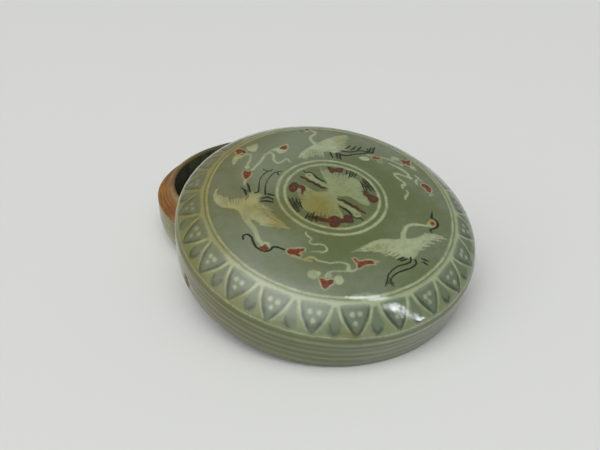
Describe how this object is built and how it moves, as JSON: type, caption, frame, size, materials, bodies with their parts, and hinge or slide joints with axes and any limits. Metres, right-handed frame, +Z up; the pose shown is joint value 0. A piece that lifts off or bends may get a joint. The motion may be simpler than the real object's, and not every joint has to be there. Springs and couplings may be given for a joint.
{
  "type": "lidded box",
  "caption": "Round shallow celadon box with a domed inlaid lid, shown slid off and leaning on its dish.",
  "frame": {"origin": "centre of the base's flat bottom", "axes": "+Z up; the lid has been slid off towards -Y and leans, its low edge on the table; +X to the right seen from -Y"},
  "size_m": [0.11, 0.1583, 0.0482],
  "materials": {
    "base_glaze": "glossy celadon glaze over stoneware, with an unglazed orange-brown rim",
    "lid_glaze": "glossy grey-green celadon glaze over white, black and copper-red inlay"
  },
  "bodies": {
    "base": {"base": "base_glaze"},
    "lid": {"lid": "lid_glaze"}
  },
  "joints": [
    {"name": "lid_lift", "type": "slide", "parent": "base", "child": "lid", "axis": [0, 0, 1], "range_m": [0, 0.08]}
  ]
}
